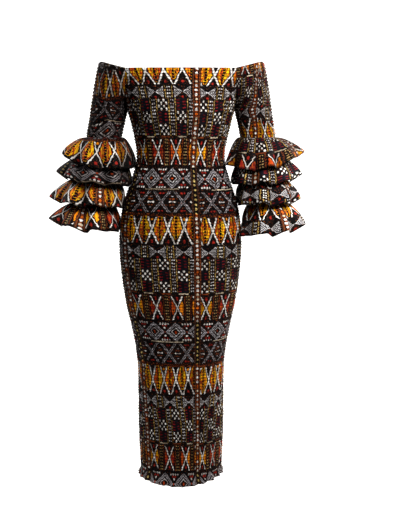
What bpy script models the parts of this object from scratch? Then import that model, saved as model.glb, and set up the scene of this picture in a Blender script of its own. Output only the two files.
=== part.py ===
"""Off-shoulder dress in African wax print, shirred all over, with four ruffles on each sleeve.

Metres, +Z up, the front faces -Y. The origin is the middle of the neck opening, level with
the front neck edge, where the elastic holds on the wearer. Left is the -X side.
The dress keeps the hollow form that it has when worn: neck, cuffs and hem are open.
"""

import math
from collections import namedtuple

import bmesh
import bpy
import numpy as np

# Cloth and seams
CLOTH = 0.0020              # wall thickness
SEAM_GAP = 0.0003           # between two pieces that are sewn together
SMALL = 1e-9                # lengths and shares closer than this are equal
NUDGE = 1e-4                # step along a surface to measure its slope

# Shirring: rows of elastic thread, with the cloth puffed out between them
RIB_DEPTH = 0.0024          # how far a puff stands out of the wall
PUCKER_SHARE = 0.45         # every other column of a puff is pinched to this share
ARMHOLE_RIBS = 4            # from the neck edge to the armpit
BODY_RIBS = 32              # from the armpit to the last elastic row
SLEEVE_RIBS = 3             # from the armpit to the first ruffle

# Heights
ARMPIT = -0.116
LAST_ELASTIC = -1.142
SHOULDER_RISE = 0.021       # how far the neck edge climbs over the shoulder

# The worn dress stands a little to the right at the neck edge, and straight from the hip down
SWAY = 0.0045
SWAY_FROM = -0.42

# Hem frill: the ungathered cloth below the last elastic row
FRILL_DROP_SIDE = 0.023
FRILL_DROP_MIDDLE = 0.033
FRILL_FLARE_SIDE = 0.007
FRILL_FLARE_MIDDLE = 0.015
FRILL_WAVES = 12            # on each panel
FRILL_WAVE = 0.0034         # wave height at the hem
WAVE_STEPS = 4              # columns for each wave

PANEL_COLUMNS = 16
BODY_ROUNDNESS = 2.2        # exponent of the body's oval section

# Sleeves and ruffles
SLEEVE_COLUMNS = 20
PLAIN_ROWS = 4              # rows of the plain tube under the ruffles
RUFFLE_WAVES = 9
RUFFLE_ROWS = 3
RUFFLE_WAVE = 0.0095        # wave height at a ruffle's edge
WAVE_GROWTH = 1.3           # how the waves grow from the seam to the edge
PUFF_OUT = 0.64             # below 1 a ruffle springs outwards before it falls
PUFF_DOWN = 1.25
BODY_CLEARANCE = 0.0055     # between a ruffle's middle and the body
CLEARANCE_BLEND = 0.004     # how softly a ruffle gives way to the body

BodyRow = namedtuple("BodyRow", "height half_width front back")
BODY = [
    BodyRow(0.000, 0.2000, 0.1000, 0.0930),
    BodyRow(-0.058, 0.1750, 0.1150, 0.0980),
    BodyRow(-0.116, 0.1490, 0.1210, 0.0970),
    BodyRow(-0.147, 0.1395, 0.1160, 0.0930),
    BodyRow(-0.191, 0.1290, 0.1020, 0.0860),
    BodyRow(-0.232, 0.1225, 0.0940, 0.0830),
    BodyRow(-0.261, 0.1240, 0.0935, 0.0860),
    BodyRow(-0.309, 0.1375, 0.0980, 0.0980),
    BodyRow(-0.366, 0.1570, 0.1030, 0.1130),
    BodyRow(-0.408, 0.1660, 0.1060, 0.1210),
    BodyRow(-0.460, 0.1708, 0.1070, 0.1240),
    BodyRow(-0.510, 0.1712, 0.1060, 0.1210),
    BodyRow(-0.578, 0.1660, 0.1040, 0.1120),
    BodyRow(-0.647, 0.1562, 0.1010, 0.1020),
    BodyRow(-0.717, 0.1417, 0.0960, 0.0940),
    BodyRow(-0.776, 0.1297, 0.0920, 0.0890),
    BodyRow(-0.835, 0.1225, 0.0895, 0.0865),
    BodyRow(-0.920, 0.1215, 0.0880, 0.0855),
    BodyRow(-1.010, 0.1212, 0.0870, 0.0850),
    BodyRow(-1.075, 0.1192, 0.0860, 0.0845),
    BodyRow(-1.142, 0.1162, 0.0860, 0.0845),
]

# outer and inner are distances from the middle of the dress. opening is the angle, seen from
# the sleeve's middle, between the side that faces the body and the armhole seam.
SleeveRow = namedtuple("SleeveRow", "height outer inner depth opening")
SLEEVE = [
    SleeveRow(0.000, 0.2280, 0.1505, 0.0790, 110.0),
    SleeveRow(-0.029, 0.2355, 0.1505, 0.0690, 86.0),
    SleeveRow(-0.058, 0.2415, 0.1510, 0.0610, 63.0),
    SleeveRow(-0.087, 0.2470, 0.1508, 0.0565, 40.0),
    SleeveRow(-0.116, 0.2515, 0.1500, 0.0540, 0.0),
    SleeveRow(-0.147, 0.2570, 0.1580, 0.0520, 0.0),
    SleeveRow(-0.169, 0.2610, 0.1630, 0.0500, 0.0),
    SleeveRow(-0.190, 0.2640, 0.1665, 0.0485, 0.0),
    SleeveRow(-0.260, 0.2710, 0.1760, 0.0460, 0.0),
    SleeveRow(-0.320, 0.2790, 0.1890, 0.0440, 0.0),
    SleeveRow(-0.385, 0.2885, 0.2035, 0.0425, 0.0),
]

# reach is how far a ruffle's edge stands from the sleeve's middle, and drop how far it hangs
# below its seam, on the outer, front (and back) and inner side.
RuffleRow = namedtuple(
    "RuffleRow", "side tier seam reach_out drop_out reach_front drop_front reach_in drop_in turn")
RUFFLES = [
    RuffleRow("left", 1, -0.190, 0.1120, 0.050, 0.098, 0.083, 0.083, 0.085, 0.2),
    RuffleRow("left", 2, -0.240, 0.1160, 0.054, 0.100, 0.075, 0.080, 0.087, 1.5),
    RuffleRow("left", 3, -0.300, 0.1280, 0.062, 0.102, 0.075, 0.076, 0.088, 2.9),
    RuffleRow("left", 4, -0.370, 0.1210, 0.050, 0.100, 0.072, 0.077, 0.085, 4.3),
    RuffleRow("right", 1, -0.190, 0.1240, 0.045, 0.098, 0.086, 0.085, 0.072, 0.9),
    RuffleRow("right", 2, -0.240, 0.1060, 0.062, 0.098, 0.074, 0.072, 0.080, 2.3),
    RuffleRow("right", 3, -0.300, 0.0950, 0.070, 0.096, 0.070, 0.073, 0.080, 3.4),
    RuffleRow("right", 4, -0.370, 0.1060, 0.066, 0.100, 0.083, 0.074, 0.098, 5.0),
]

SIDES = {"left": -1.0, "right": 1.0}

Finish = namedtuple("Finish", "colour roughness")
FINISHES = {
    "dress": Finish((0.050, 0.030, 0.024, 1.0), 0.80),
    "sleeve": Finish((0.060, 0.036, 0.026, 1.0), 0.80),
    "ruffle": Finish((0.140, 0.062, 0.022, 1.0), 0.72),
}


def smooth_at(table, column, height):
    """A table's column at a height, on a smooth curve through the rows, whose heights fall."""
    heights = [row.height for row in table]
    values = [getattr(row, column) for row in table]
    if height >= heights[0]:
        return values[0]
    if height <= heights[-1]:
        return values[-1]
    last = len(table) - 1
    start = next(i for i in range(last) if height >= heights[i + 1])

    def slope(i):
        before, after = max(i - 1, 0), min(i + 1, last)
        return (values[after] - values[before]) / (heights[after] - heights[before])

    span = heights[start + 1] - heights[start]
    t = (height - heights[start]) / span
    ends = values[start] * (1 + 2 * t) * (1 - t) ** 2 + values[start + 1] * t * t * (3 - 2 * t)
    return ends + span * (slope(start) * t * (1 - t) ** 2 - slope(start + 1) * t * t * (1 - t))


def signed_power(value, exponent):
    return math.copysign(abs(value) ** exponent, value)


# ---------------------------------------------------------------- wall building

def stitch(mesh, first, second):
    """Faces between two rows of points, which may hold unequal counts."""
    i, j = 0, 0
    while i < len(first) - 1 or j < len(second) - 1:
        step_first = (i + 1) / max(len(first) - 1, 1)
        step_second = (j + 1) / max(len(second) - 1, 1)
        first_left = i < len(first) - 1
        second_left = j < len(second) - 1
        move_first = first_left and (not second_left or step_first <= step_second + SMALL)
        move_second = second_left and (not first_left or step_second <= step_first + SMALL)
        corners = [first[i], second[j]]
        if move_second:
            j += 1
            corners.append(second[j])
        if move_first:
            i += 1
            corners.append(first[i])
        corners = list(dict.fromkeys(corners))
        if len(corners) > 2:
            mesh.faces.new(corners)


def mirrored(point, sign):
    x, y, z = point
    return (sign * x, y, z)


def swayed(point):
    x, y, z = point
    return (x + SWAY * max(0.0, 1 - z / SWAY_FROM), y, z)


def add_rows(mesh, rows):
    """Points of a surface, row by row. A row whose ends meet shares its first point."""
    placed = []
    for row in rows:
        meets = len(row) > 2 and np.linalg.norm(np.subtract(row[0], row[-1])) < SMALL
        points = [mesh.verts.new(swayed(point)) for point in (row[:-1] if meets else row)]
        placed.append(points + points[:1] if meets else points)
    return placed


def make_wall(name, outer_rows, inner_rows, slit=None):
    """One closed cloth wall from its outer and inner surface, each a list of rows of points.

    Where the rows are open they get side faces: on the whole length of a panel, and down to
    the row number slit on a tube that is slit from its top.
    """
    mesh = bmesh.new()
    outer = add_rows(mesh, outer_rows)
    inner = add_rows(mesh, inner_rows)
    for surface in (outer, inner):
        for upper, lower in zip(surface, surface[1:]):
            stitch(mesh, upper, lower)
    stitch(mesh, outer[0], inner[0])
    stitch(mesh, outer[-1], inner[-1])
    if outer[0][0] is not outer[0][-1]:
        end = None if slit is None else slit + 1
        for column in (0, -1):
            stitch(mesh, [row[column] for row in outer[:end]], [row[column] for row in inner[:end]])
    bmesh.ops.recalc_face_normals(mesh, faces=mesh.faces)
    data = bpy.data.meshes.new(name)
    mesh.to_mesh(data)
    mesh.free()
    data.shade_smooth()
    data.set_sharp_from_angle(angle=math.radians(50))
    data.materials.append(make_material(name))
    part = bpy.data.objects.new(name, data)
    bpy.context.collection.objects.link(part)
    return part


def make_material(name):
    finish = FINISHES[name.split("_")[0]]
    material = bpy.data.materials.new(name + "_print")
    material.use_nodes = True
    shader = material.node_tree.nodes["Principled BSDF"]
    shader.inputs["Base Color"].default_value = finish.colour
    shader.inputs["Roughness"].default_value = finish.roughness
    shader.inputs["Metallic"].default_value = 0.0
    material.diffuse_color = finish.colour
    return material


# ---------------------------------------------------------------- sleeve section

def armhole_heights():
    return [ARMPIT * i / (2 * ARMHOLE_RIBS) for i in range(2 * ARMHOLE_RIBS + 1)]


def sleeve_point(height, share, grow=0.0):
    """A point of the right sleeve's ring, and share goes from the front seam to the back seam.

    grow moves it out of the wall, or into it where it is negative.
    """
    outer = smooth_at(SLEEVE, "outer", height)
    inner = smooth_at(SLEEVE, "inner", height) + SEAM_GAP / 2
    depth = smooth_at(SLEEVE, "depth", height)
    opening = 0.0
    if height > ARMPIT + SMALL:
        opening = math.radians(smooth_at(SLEEVE, "opening", height))
    width = (outer - inner) / (1 + math.cos(opening))
    angle = (math.pi - opening) * (2 * share - 1)
    normal = np.array([math.cos(angle) / width, math.sin(angle) / depth, 0.0])
    normal /= np.linalg.norm(normal)
    climb = SHOULDER_RISE * max(0.0, 1 + height / -ARMPIT) * math.sin(math.pi * share)
    base = np.array([outer - width * (1 - math.cos(angle)), depth * math.sin(angle), height + climb])
    return base + normal * grow


def seam_point(height):
    """The armhole seam at a height: distance from the middle, and from front to back."""
    opening = math.radians(smooth_at(SLEEVE, "opening", height))
    return (smooth_at(SLEEVE, "inner", height) - SEAM_GAP / 2,
            smooth_at(SLEEVE, "depth", height) * math.sin(opening))


# ---------------------------------------------------------------- body panels

def panel_section(height, depth):
    """Half width of the body's oval at a height, and the angle at which a panel ends."""
    if height <= ARMPIT + SMALL:
        return smooth_at(BODY, "half_width", height), math.pi / 2
    seam_x, seam_y = seam_point(height)
    rest = (1 - (seam_y / depth) ** BODY_ROUNDNESS) ** (1 / BODY_ROUNDNESS)
    half_width = seam_x / rest
    return half_width, math.asin((seam_x / half_width) ** (BODY_ROUNDNESS / 2))


def panel_point(facing, height, across, grow=0.0, flare=(0.0, 0.0)):
    """A point of a panel: facing is "front" or "back", and across goes from -1 to 1.

    flare widens the section at its side and at its middle.
    """
    depth = smooth_at(BODY, facing, height)
    half_width, last_angle = panel_section(height, depth)
    half_width += flare[0]
    depth += flare[1]
    angle = last_angle * across
    x = half_width * signed_power(math.sin(angle), 2 / BODY_ROUNDNESS)
    y = depth * max(math.cos(angle), 0.0) ** (2 / BODY_ROUNDNESS)
    lean = BODY_ROUNDNESS - 1
    normal = np.array([signed_power(x / half_width, lean) / half_width, (y / depth) ** lean / depth])
    normal /= np.linalg.norm(normal)
    x, y = np.array([x, y]) + normal * grow
    toward = -1.0 if facing == "front" else 1.0
    return (x, toward * max(y, SEAM_GAP / 2), height)


def relief(row, column, columns):
    """How far a shirred surface stands out: nothing on elastic rows and at the seams."""
    if row % 2 == 0 or column in (0, columns):
        return 0.0
    return RIB_DEPTH * (1.0 if column % 2 else PUCKER_SHARE)


def body_heights():
    steps = 2 * BODY_RIBS
    lower = [ARMPIT + (LAST_ELASTIC - ARMPIT) * i / steps for i in range(1, steps + 1)]
    return armhole_heights() + lower


def frill_row(facing, share, inside):
    """One row of the hem frill: share is 0 at the last elastic row and 1 at the hem."""
    flare = (FRILL_FLARE_SIDE * share, FRILL_FLARE_MIDDLE * share)
    columns = FRILL_WAVES * WAVE_STEPS
    row = []
    for column in range(columns + 1):
        across = 2 * column / columns - 1
        toward_middle = math.cos(across * math.pi / 2) ** 3
        drop = FRILL_DROP_SIDE + (FRILL_DROP_MIDDLE - FRILL_DROP_SIDE) * toward_middle
        wave = FRILL_WAVE * share * math.sin(2 * math.pi * FRILL_WAVES * column / columns)
        grow = wave - (CLOTH if inside else 0.0)
        row.append(panel_point(facing, LAST_ELASTIC - drop * share, across, grow, flare))
    return row


def make_panel(facing):
    heights = body_heights()
    across = [2 * column / PANEL_COLUMNS - 1 for column in range(PANEL_COLUMNS + 1)]
    outer = []
    for row, height in enumerate(heights):
        raised = [relief(row, column, PANEL_COLUMNS) for column in range(len(across))]
        outer.append([panel_point(facing, height, *pair) for pair in zip(across, raised)])
    inside_heights = armhole_heights() + heights[2 * ARMHOLE_RIBS + 2::2]
    inner = [[panel_point(facing, height, a, -CLOTH) for a in across] for height in inside_heights]
    for share in (0.5, 1.0):
        outer.append(frill_row(facing, share, inside=False))
        inner.append(frill_row(facing, share, inside=True))
    return make_wall("dress_" + facing, outer, inner)


# ---------------------------------------------------------------- sleeves

def sleeve_heights():
    """The shirred rows down to the first ruffle, then the plain rows."""
    first_ruffle, cuff = RUFFLES[0].seam, SLEEVE[-1].height
    steps = 2 * SLEEVE_RIBS
    shirred = [ARMPIT + (first_ruffle - ARMPIT) * i / steps for i in range(1, steps + 1)]
    plain = [first_ruffle + (cuff - first_ruffle) * i / PLAIN_ROWS for i in range(1, PLAIN_ROWS + 1)]
    return armhole_heights() + shirred, plain


def make_sleeve(side):
    sign = SIDES[side]
    shares = [column / SLEEVE_COLUMNS for column in range(SLEEVE_COLUMNS + 1)]
    shirred, plain = sleeve_heights()
    outer, inner = [], []
    for row, height in enumerate(shirred + plain):
        ribbed = row < len(shirred)
        raised = [relief(row, column, SLEEVE_COLUMNS) if ribbed else 0.0 for column in range(len(shares))]
        outer.append([mirrored(sleeve_point(height, *pair), sign) for pair in zip(shares, raised)])
        if row <= 2 * ARMHOLE_RIBS or row % 2 == 0 or not ribbed:
            inner.append([mirrored(sleeve_point(height, share, -CLOTH), sign) for share in shares])
    return make_wall("sleeve_" + side, outer, inner, slit=2 * ARMHOLE_RIBS)


# ---------------------------------------------------------------- ruffles

def body_reach(height, y):
    """Distance from the middle to the outside of the body at a height and a depth."""
    depth = smooth_at(BODY, "front" if y < 0 else "back", height)
    if abs(y) >= depth:
        return 0.0
    inside = 1 - (abs(y) / depth) ** BODY_ROUNDNESS
    return smooth_at(BODY, "half_width", height) * inside ** (1 / BODY_ROUNDNESS)


def give_way(x, least):
    """x, or least where that is more, with a soft change from one to the other."""
    spread = (x - least) / CLEARANCE_BLEND
    if spread > 30:
        return x
    return least + CLEARANCE_BLEND * math.log1p(math.exp(spread))


def side_blend(angle, out, front, inward):
    """A value that goes smoothly from the outer side, at angle 0, to the front and inner side."""
    facing = math.cos(angle)
    edge = out if facing > 0 else inward
    return front + (edge - front) * facing * facing


def ruffle_middle(ruffle, share, angle):
    """A point halfway through a ruffle's cloth, on the right side of the dress."""
    outer = smooth_at(SLEEVE, "outer", ruffle.seam)
    inner = smooth_at(SLEEVE, "inner", ruffle.seam)
    centre = (outer + inner) / 2
    off_sleeve = SEAM_GAP + CLOTH / 2
    start_x = (outer - inner) / 2 + off_sleeve
    start_y = smooth_at(SLEEVE, "depth", ruffle.seam) + off_sleeve
    reach = side_blend(angle, ruffle.reach_out, ruffle.reach_front, ruffle.reach_in)
    drop = side_blend(angle, ruffle.drop_out, ruffle.drop_front, ruffle.drop_in)
    out = share ** PUFF_OUT
    fold = RUFFLE_WAVE * share ** WAVE_GROWTH
    wave = fold * math.sin(RUFFLE_WAVES * angle + ruffle.turn)
    x = centre + math.cos(angle) * (start_x + (reach - start_x) * out + wave)
    y = math.sin(angle) * (start_y + (reach - start_y) * out + wave)
    z = ruffle.seam - drop * share ** PUFF_DOWN
    least = body_reach(z, y) + BODY_CLEARANCE
    return np.array([give_way(x, least) if share > 0 else x, y, z])


def make_ruffle(ruffle):
    sign = SIDES[ruffle.side]
    columns = RUFFLE_WAVES * WAVE_STEPS
    outer, inner = [], []
    for row in range(RUFFLE_ROWS + 1):
        share = row / RUFFLE_ROWS
        outer_row, inner_row = [], []
        for column in range(columns):
            angle = 2 * math.pi * column / columns
            middle = ruffle_middle(ruffle, share, angle)
            down = ruffle_middle(ruffle, share + NUDGE, angle) - middle
            around = ruffle_middle(ruffle, share, angle + NUDGE) - middle
            normal = np.cross(down, around)
            normal /= np.linalg.norm(normal)
            outer_row.append(mirrored(middle + normal * CLOTH / 2, sign))
            inner_row.append(mirrored(middle - normal * CLOTH / 2, sign))
        outer.append(outer_row + outer_row[:1])
        inner.append(inner_row + inner_row[:1])
    return make_wall(f"ruffle_{ruffle.side}_{ruffle.tier}", outer, inner)


def main():
    for old in list(bpy.data.objects):
        bpy.data.objects.remove(old, do_unlink=True)
    parts = [make_panel("front"), make_panel("back")]
    parts += [make_sleeve(side) for side in SIDES]
    parts += [make_ruffle(ruffle) for ruffle in RUFFLES]
    dress = bpy.data.objects.new("dress", None)
    bpy.context.collection.objects.link(dress)
    for part in parts:
        part.parent = dress


main()
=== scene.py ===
import math
from collections import namedtuple

import bmesh
import bpy
import numpy as np
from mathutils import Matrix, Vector


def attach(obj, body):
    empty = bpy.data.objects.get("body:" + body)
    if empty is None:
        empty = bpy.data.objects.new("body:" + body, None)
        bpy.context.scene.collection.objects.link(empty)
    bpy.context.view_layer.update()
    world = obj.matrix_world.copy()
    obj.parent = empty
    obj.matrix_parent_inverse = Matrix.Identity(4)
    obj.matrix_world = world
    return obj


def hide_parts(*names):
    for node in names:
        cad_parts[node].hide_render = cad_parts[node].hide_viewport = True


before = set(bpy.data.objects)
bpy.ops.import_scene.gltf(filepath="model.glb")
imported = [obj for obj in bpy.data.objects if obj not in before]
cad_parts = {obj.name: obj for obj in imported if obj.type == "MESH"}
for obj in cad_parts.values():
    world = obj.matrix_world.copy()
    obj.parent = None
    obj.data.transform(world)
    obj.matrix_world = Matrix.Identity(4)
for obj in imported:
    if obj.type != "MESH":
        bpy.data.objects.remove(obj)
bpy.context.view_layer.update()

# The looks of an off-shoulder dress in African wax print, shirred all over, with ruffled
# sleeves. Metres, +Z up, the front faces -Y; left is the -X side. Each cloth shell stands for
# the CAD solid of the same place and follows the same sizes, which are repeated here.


def table(columns, rows):
    """A short table: a list of rows with named columns."""
    row = namedtuple("Row", columns)
    return [row(*values) for values in rows]


# ---------------------------------------------------------------- sizes of the dress

CLOTH = 0.0020
SEAM_GAP = 0.0003           # between two solids at a seam
ARMPIT = -0.116
LAST_ELASTIC = -1.142
SHOULDER_RISE = 0.021
SWAY = 0.0045
SWAY_FROM = -0.42

FRILL_DROP_SIDE = 0.023
FRILL_DROP_MIDDLE = 0.033
FRILL_FLARE_SIDE = 0.007
FRILL_FLARE_MIDDLE = 0.015
FRILL_WAVES = 12
FRILL_WAVE = 0.0034
FRILL_SWING = 0.28          # how uneven its waves are,
FRILL_SWING_REACH = 12      # over so many columns
FRILL_SMALL_WAVE = 0.0011
FRILL_SMALL_REACH = 3
FRILL_TILT = 0.008          # the hem is so much higher on the right
BODY_ROUNDNESS = 2.2

RUFFLE_WAVES = 9
RUFFLE_WAVE = 0.0095
WAVE_GROWTH = 1.3
PUFF_OUT = 0.64
PUFF_DOWN = 1.25
SHOWN_GAP = 0.0001          # between two shells at a seam
SEAM_LAP = 0.0024           # on the inside, one shell reaches so far past a seam behind the next
LAP_FADE = 0.020            # and ever less so within this distance of the armpit
LAP_ROOM = 1.6              # the next shell draws back by this many times as much
BODY_CLEARANCE = 0.0055
CLEARANCE_BLEND = 0.004

BODY = table("height half_width front back", [
    (0.000, 0.2000, 0.1000, 0.0930),
    (-0.058, 0.1750, 0.1150, 0.0980),
    (-0.116, 0.1490, 0.1210, 0.0970),
    (-0.147, 0.1395, 0.1160, 0.0930),
    (-0.191, 0.1290, 0.1020, 0.0860),
    (-0.232, 0.1225, 0.0940, 0.0830),
    (-0.261, 0.1240, 0.0935, 0.0860),
    (-0.309, 0.1375, 0.0980, 0.0980),
    (-0.366, 0.1570, 0.1030, 0.1130),
    (-0.408, 0.1660, 0.1060, 0.1210),
    (-0.460, 0.1708, 0.1070, 0.1240),
    (-0.510, 0.1712, 0.1060, 0.1210),
    (-0.578, 0.1660, 0.1040, 0.1120),
    (-0.647, 0.1562, 0.1010, 0.1020),
    (-0.717, 0.1417, 0.0960, 0.0940),
    (-0.776, 0.1297, 0.0920, 0.0890),
    (-0.835, 0.1225, 0.0895, 0.0865),
    (-0.920, 0.1215, 0.0880, 0.0855),
    (-1.010, 0.1212, 0.0870, 0.0850),
    (-1.075, 0.1192, 0.0860, 0.0845),
    (-1.142, 0.1162, 0.0860, 0.0845),
])

SLEEVE = table("height outer inner depth opening", [
    (0.000, 0.2280, 0.1505, 0.0790, 110.0),
    (-0.029, 0.2355, 0.1505, 0.0690, 86.0),
    (-0.058, 0.2415, 0.1510, 0.0610, 63.0),
    (-0.087, 0.2470, 0.1508, 0.0565, 40.0),
    (-0.116, 0.2515, 0.1500, 0.0540, 0.0),
    (-0.147, 0.2570, 0.1580, 0.0520, 0.0),
    (-0.169, 0.2610, 0.1630, 0.0500, 0.0),
    (-0.190, 0.2640, 0.1665, 0.0485, 0.0),
    (-0.260, 0.2710, 0.1760, 0.0460, 0.0),
    (-0.320, 0.2790, 0.1890, 0.0440, 0.0),
    (-0.385, 0.2885, 0.2035, 0.0425, 0.0),
])

# The ruffles follow their solids, from side to turn. print_top is the place in the print's repeat
# at the seam, print_turn how far the print is turned round the arm, in turns, the next column the
# painted light and shade over the whole ruffle, and hem_turn how far the hem turns down.
RUFFLES = table("side tier seam reach_out drop_out reach_front drop_front reach_in drop_in turn "
                "print_top print_turn tone hem_turn", [
    ("left", 1, -0.190, 0.1120, 0.050, 0.098, 0.083, 0.083, 0.085, 0.2, -0.040, 0.113, 0.80, 0.15),
    ("left", 2, -0.240, 0.1160, 0.054, 0.100, 0.075, 0.080, 0.087, 1.5, 0.605, 0.550, 0.46, 0.11),
    ("left", 3, -0.300, 0.1280, 0.062, 0.102, 0.075, 0.076, 0.088, 2.9, -0.060, 0.313, 0.98, 0.07),
    ("left", 4, -0.370, 0.1210, 0.050, 0.100, 0.072, 0.077, 0.085, 4.3, 0.470, 0.800, 1.40, 0.06),
    ("right", 1, -0.190, 0.1240, 0.045, 0.098, 0.086, 0.085, 0.072, 0.9, 0.375, 0.108, 0.74, 0.05),
    ("right", 2, -0.240, 0.1060, 0.062, 0.098, 0.074, 0.072, 0.080, 2.3, 0.240, 0.725, 1.20, 0.11),
    ("right", 3, -0.300, 0.0950, 0.070, 0.096, 0.070, 0.073, 0.080, 3.4, 0.070, 0.480, 1.05, 0.20),
    ("right", 4, -0.370, 0.1060, 0.066, 0.100, 0.083, 0.074, 0.098, 5.0, 0.040, 0.000, 1.36, 0.08),
])

SIDES = {"left": -1.0, "right": 1.0}

# A sleeve's print: repeats round it, the share of the way round where the stripe is, the place in
# the repeat, level, at a height, the drop of a repeat, which stands upside down here, and the
# painted light and shade over the whole sleeve
SLEEVE_PRINTS = table("side repeats stripe level height drop tone", [
    ("left", 1.7, 0.42, 1.0, -0.078, 0.40, 0.47),
    ("right", 2.1, 0.23, 0.19, -0.1353, 0.355, 0.72),
])

# ---------------------------------------------------------------- sizes of the cloth's surface

MILLIMETRE = 0.001
SHELL = 0.0014              # thickness of a shown shell
SHIRR_PITCH = 0.0080        # from one row of elastic thread to the next
SHIRR_STEPS = 3             # rows of points for each puff
PUFF = 0.0027               # how far a puff stands out
PUFF_SHARE = 0.62           # the usual share of it, which changes by so much
PUFF_FINE = 0.34            # over a column or two,
PUFF_BROAD = 0.16           # and over a few,
PUFF_SHARES = (0.08, 1.30)  # and stays within these
FINE_PUCKERS = (1, 0.55)    # the columns that a pucker reaches over, and how much of a row is
BROAD_PUCKERS = (4, 0.75)   # carried down to the next
PUFF_ROUND = 0.8            # the less, the rounder
CROWN_GAIN = 1.3            # how fast the painted light on a puff's crown grows as the puff gets higher
CROWN_LESS = 0.15
CREASE_BOW = 0.12           # how much a crease's ends bend down
CREASE_END = 1.15           # where they fade out, as a share of its half length
BANK = 0.45                 # the height of a crease's banks, as a share of its depth
BANK_PLACE = 1.7            # so many widths from its middle
BANK_NARROW = 2.5           # the more, the narrower
PUFF_LIFT = 0.0002          # the elastic rows stand this far off the solid's wall
NECK_SHARE = 0.4            # of the relief is left at the neck edge
SEAM_FADE = 0.009           # the relief fades so far from a seam
ARMPIT_CALM = 1.6           # and so many times further at the armpit
ARMPIT_REACH = 0.014        # and within this height of it
ARMPIT_FADE = 0.030         # and so far below the armpit
PANEL_COLUMNS = 184
OVAL_STEPS = 240            # for measuring along a panel's form
FRILL_ROWS = 14
SLEEVE_COLUMNS = 176
SLEEVE_PLAIN_ROWS = 15
SLEEVE_ROUND = 0.33         # length round a sleeve, for placing its creases
SHOULDER_DIP = 0.28         # rounds the outer corner of the neck edge, as a share of its rise,
SHOULDER_DIP_REACH = 0.10   # over this share of the way round
SLEEVE_WARP = 0.035         # how far the sleeve's creases shift its print, in repeats,
WARPS_ROUND = 3.3           # with so many waves round the sleeve
WARPS_DOWN = 7.0            # and in a metre down it
RUFFLE_COLUMNS = 360
RUFFLE_ROWS = 34
RUFFLE_PRINT_DROP = 0.235   # share of the repeat from seam to hem
TOP_CLEAR_FRONT = 0.002     # the top ruffle's hem stands out so much further, clear of the next
TOP_CLEAR_BACK = 0.009
HEM_LIFT = 0.70             # a fold that stands out lifts the hem by this share
SMALL_WAVES = table("count height", [(5, 0.0022), (13, 0.0026), (22, 0.0015), (31, 0.0007)])
SMALL_WAVE_GROWTH = 1.2     # they grow by this power of the way from seam to hem
SMALL_WAVE_SWING = (0.7, 1.2)
SMALL_WAVE_LEAN = (-0.06, 0.06)     # from seam to hem, in radians round the arm
WAVE_SHARP = 0.9            # the less, the sharper the troughs between the main waves
DENTS = 7                   # soft dents and bulges in a ruffle, within these limits:
DENT_PLACE = (0.35, 0.85)   # down it
DENT_WIDTH = (0.05, 0.12)   # round it
DENT_LENGTH = (0.15, 0.30)  # down it
DENT_HEIGHT = (-0.0030, 0.0018)
GATHERS = 58                # small gathers below a ruffle's seam
GATHER_DEPTH = 0.0017
GATHER_DRIFT = 1.4          # how far they stray from an even spacing,
GATHER_DRIFTS = 7           # so many times round
GATHER_START = 0.04         # they grow from the seam to this share of the ruffle's depth
GATHER_REACH = 0.26         # and fade over this share
INSIDE_COLUMN_STEP = 2      # the inside has one column for so many outside
DIP_SHADE = 0.26            # painted shade: how light the cloth is painted deep between the puckers
HEM_SHADE = 0.30            # and at a rolled hem
FOLD_SHADE = 0.45           # and deep between a ruffle's folds
INNER_SHADE = 0.35          # and on a ruffle's side next to the body
FLANK_SHADE = 0.65          # and at the dress's sides
SLEEVE_INNER_SHADE = 0.40   # and on a sleeve's side next to the body

# Where some of them begin and are whole, as shares of the way
FRILL_TOP = (0.0, 0.25)     # down the frill
FRILL_HEM = (0.86, 0.985)
RUFFLE_HEM = (0.945, 0.970)     # down a ruffle, for the shade
RUFFLE_ROLL = (0.955, 0.975)    # and for the rolled edge
RUFFLE_INNER = (0.20, 0.80)     # from a ruffle's front to its inner side
FLANKS = (0.74, 0.96)       # from the middle of a panel to its side
SLEEVE_INNER = (0.27, 0.46)     # from a sleeve's outer side to its inner side
SLEEVE_INNER_DOWN = (0.04, 0.09)    # and down it, in metres

FRILL_CROWN = 0.10          # painted light and shade: how light the frill is painted at its top, where a puff's crown is 1,
FRILL_CROWN_BELOW = 0.24    # how much lighter below it,
FRILL_CROWN_WAVE = 0.22     # lighter or darker on its waves,
FRILL_CROWN_HEM = 0.30      # and darker at its hem
FRILL_LINES = 4             # faint lines of painted thread shade along it
GATHER_SHADE = 0.75         # how much painted shade darkens the cloth between a ruffle's gathers
# painted shade is warmer: the painted light's level is raised to these powers in red, green and blue
SHADE_WARMTH = (1.0, 1.08, 1.12)
BRIGHTEST = 1.06            # no cloth is lighter than this times its print
WELD = 1e-7
SMALL = 1e-9

# The print's repeat is split into 86 parts across, each about a degree of the way round the dress
REPEAT_PARTS = 86.0
QUARTER_PARTS = 90.0
RUFFLE_REPEATS = 2.4        # round a ruffle
PRINT_SAG = (0.014, -0.024)     # the print hangs so much lower at the sides, from neck to hem
PRINT_SLIP = 0.008          # and lower on the right of the stripe
STRIPE_EDGE = (0.0, 0.05)   # from here to here, in repeats
NECK_SLIP = 0.022           # and lower still there by the neck edge
NECK_SQUEEZE = 0.017        # the print is squeezed by so much below the neck edge
NECK_BAND = 0.075           # down to here
HEM_SQUEEZE = 0.36          # near the hem it is also squeezed toward the stripe by this share
HEM_SQUEEZE_REACH = (-0.20, 0.40)   # from so many repeats on its left to its right
HEM_SQUEEZE_DOWN = (0.86, 1.04)     # from here on, and whole from here, in metres
REPEAT_STARTS = [0.0385, -0.4015, -0.8267, -1.2720]

# How far round the front the print's dotted stripe stands, in quarter parts, down the dress
STRIPE = table("height place", [
    (0.000, 15.5),
    (-0.126, 18.6),
    (-0.300, 18.9),
    (-0.507, 19.8),
    (-0.664, 21.9),
    (-0.800, 25.2),
    (-1.142, 27.0),
])
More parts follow.
